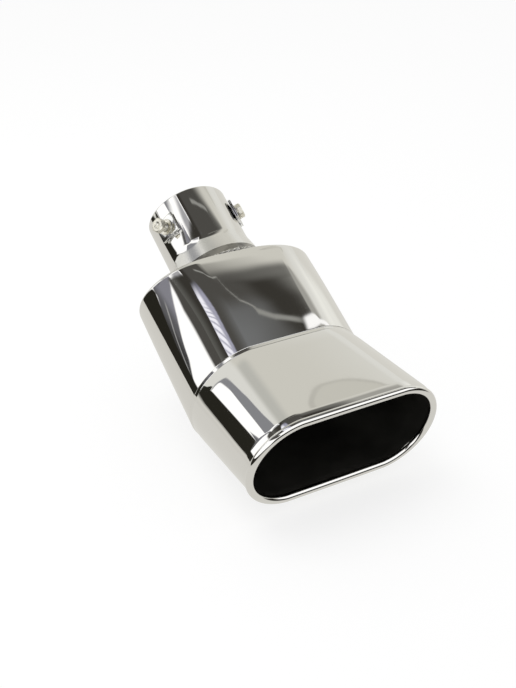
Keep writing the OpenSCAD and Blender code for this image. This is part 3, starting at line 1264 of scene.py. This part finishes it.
def hoop(glow, x, y):
    """The faint oval that the front shell mirrors near the seam."""
    across, back = (maths("MULTIPLY", maths("ADD", value, -middle), 1 / size)
                    for value, middle, size in zip((x, y), HOOP_CENTRE, HOOP_SIZE))
    reach = maths("SQRT", maths("ADD", maths("MULTIPLY", across, across), maths("MULTIPLY", back, back)))
    far_half = step_up(y, 0.07, 0.02)
    return paint(glow, (HOOP, below(reach, 1.0, 0.12), far_half),
                 (HOOP_RIM, band(reach, 0.93, 1.07, 0.08, 0.08), far_half))


def ceiling_glow(x, y, z):
    """All layers of the ceiling, from the cloth up."""
    glow = cloth(x, y)
    for layer in (window_frame, opening, strip_light, cord_and_glint, hoop):
        glow = layer(glow, x, y)
    return glow


card("ceiling_card", [(TENT_LEFT, TENT_FRONT, TENT_TOP), (TENT_RIGHT, TENT_FRONT, TENT_TOP),
                      (TENT_RIGHT, TENT_BACK, TENT_TOP), (TENT_LEFT, TENT_BACK, TENT_TOP)], ceiling_glow)

# %% [markdown]
# ## The left-hand wall
# The wall is one bright window in a grey frame that goes on from the ceiling's. A darker frame
# post and a thin slat stand in the window, shade hangs above it, and the dark edge of a table
# rises and falls along its foot.

# %% Paint the left-hand wall
POST_TOP = (0.27, 0.27, 0.31)
POST_MIDDLE = (0.13, 0.13, 0.14)
POST_FOOT = (0.06, 0.06, 0.06)
SLAT = (0.42, 0.42, 0.42)
GAP = (0.10, 0.10, 0.10)


def window_glow(x, y, z):
    """The window with its frame, post, slat, shade and table."""
    near = follow(z, (0.0, 0.170), (0.02, 0.175), (0.116, 0.208), (0.177, 0.215))
    far = follow(z, (0.0, 0.175), (0.017, 0.182), (0.156, 0.24), (0.279, 0.302), (0.30, 0.31))
    head = follow(y, (0.06, 0.20), (0.18, 0.186), (0.22, 0.178))
    front = follow(z, (-0.06, -0.002), (-0.013, -0.014), (0.086, -0.006), (0.217, 0.017), (0.26, 0.03))
    back = follow(z, (-0.06, 0.05), (-0.005, 0.064), (0.012, 0.056), (0.036, 0.056), (0.046, 0.082),
                  (0.12, 0.075), (0.2, 0.052))
    post_mask = both(past(y, front, 0.008), before(y, back, 0.01))
    off_slat = maths("SUBTRACT", y, follow(z, (-0.06, 0.008), (0.0, 0.022), (0.08, 0.032)))
    shade = follow(y, (-0.10, 0.165), (-0.03, 0.18), (0.0, 0.215), (0.03, 0.25))
    table = follow(y, (0.0, -0.065), (0.03, -0.05), (0.05, -0.02), (0.062, 0.04), (0.18, -0.01),
                   (0.195, 0.03), (0.21, 0.022), (0.235, -0.02), (0.30, -0.06), (0.40, -0.12))
    return paint(
        WINDOW,
        (GREY, past(y, near, 0.01)),
        (GREY, past(z, head, 0.01), step_up(y, 0.09, 0.03)),
        (LIGHT, past(y, far, 0.015)),
        (POST_TOP, post_mask),
        (POST_MIDDLE, post_mask, below(z, 0.07, 0.08)),
        (POST_FOOT, post_mask, below(z, 0.0, 0.05)),
        (SLAT, band(off_slat, -0.003, 0.003, 0.004, 0.004), below(z, 0.06, 0.03)),
        (SHADE, past(z, shade, 0.04), below(y, 0.035, 0.015)),
        (GAP, band(y, 0.050, 0.066, 0.01, 0.01), band(z, 0.10, 0.26, 0.04, 0.03)),
        (DARK, before(z, table, EDGE)))


card("window_card", [(TENT_LEFT, TENT_FRONT, TENT_FOOT), (TENT_LEFT, TENT_BACK, TENT_FOOT),
                     (TENT_LEFT, TENT_BACK, TENT_TOP), (TENT_LEFT, TENT_FRONT, TENT_TOP)], window_glow)

# %% [markdown]
# ## The floor and the lamp
# The floor is pale and plain, and takes a soft shadow. To the camera it glows almost to white, as
# the sheet of paper under a product does, and the shadow stays faint. Mirrors see the panorama's
# own pale floor instead, so the floor stays hidden from them. The lamp is one large soft box that
# adds to the even light of the world.

# %% Lay the floor and hang the lamp
FLOOR_DROP = 0.3 * MM
FLOOR_HALF = 10.0
PAPER_GLOW = 0.74
PAPER_SHARE = 0.29
PAPER_COLOUR = (0.8, 0.8, 0.79, 1)
LAMP_PLACE = (-0.35, 0.15, 1.15)
LAMP_SIZE = 0.9
LAMP_WATTS = 4.0
LAMP_AIM = (0, -0.12)

floor_z = cad_box[0][2] - FLOOR_DROP
floor_corners = [(x * FLOOR_HALF, y * FLOOR_HALF, floor_z) for x, y in ((-1, -1), (1, -1), (1, 1), (-1, 1))]
paper, tree = staged_sheet("floor", floor_corners)
paper.visible_glossy = False
plain, matt = (put(tree, "ShaderNodeBsdfDiffuse", {"Color": colour})[0]
               for colour in (PAPER_COLOUR, grey(PAPER_SHARE)))
sheen = put(tree, "ShaderNodeEmission", {"Color": grey(PAPER_GLOW)})[0]
glowing = put(tree, "ShaderNodeAddShader", {0: matt, 1: sheen})[0]
put(tree, "ShaderNodeOutputMaterial", {0: by_ray(tree, "Is Camera Ray", plain, glowing)})

lamp_data = bpy.data.lights.new("soft_box", "AREA")
lamp_data.shape = "DISK"
lamp_data.size = LAMP_SIZE
lamp_data.energy = LAMP_WATTS
lamp = linked("soft_box", lamp_data)
aim = Vector((*LAMP_AIM, floor_z)) - Vector(LAMP_PLACE)
lamp.matrix_world = Matrix.Translation(LAMP_PLACE) @ aim.to_track_quat("-Z", "Y").to_matrix().to_4x4()
lamp.visible_glossy = False
print(f"floor at {1000 * floor_z:.1f} mm")

# %% [markdown]
# ## The camera
# The place and the lens come from matching the tip's outline, seams and outlet to the picture.

# %% Place the camera
CAMERA_PLACE = Vector((-0.3163, -0.6704, 0.2984))
CAMERA_RIGHT = Vector((0.8707, -0.4918, 0.0)).normalized()
CAMERA_BACK = Vector((-0.4295, -0.7605, 0.4871)).normalized()
FRAME_HEIGHT_PX = 688
FOCAL_PX = 1032.2
SENSOR_HEIGHT = 36

camera_data = bpy.data.cameras.new("camera")
camera_data.sensor_fit = "VERTICAL"
camera_data.sensor_height = SENSOR_HEIGHT
camera_data.lens = FOCAL_PX / FRAME_HEIGHT_PX * SENSOR_HEIGHT
camera = linked("camera", camera_data)
camera_up = CAMERA_BACK.cross(CAMERA_RIGHT)
camera.matrix_world = Matrix.Translation(CAMERA_PLACE) @ Matrix(
    (CAMERA_RIGHT, camera_up, CAMERA_BACK)).transposed().to_4x4()
bpy.context.scene.camera = camera
bpy.context.scene.view_settings.view_transform = "Standard"
print(f"lens {camera_data.lens:.1f} mm, {1000 * CAMERA_PLACE.length:.0f} mm from the neck's mouth")
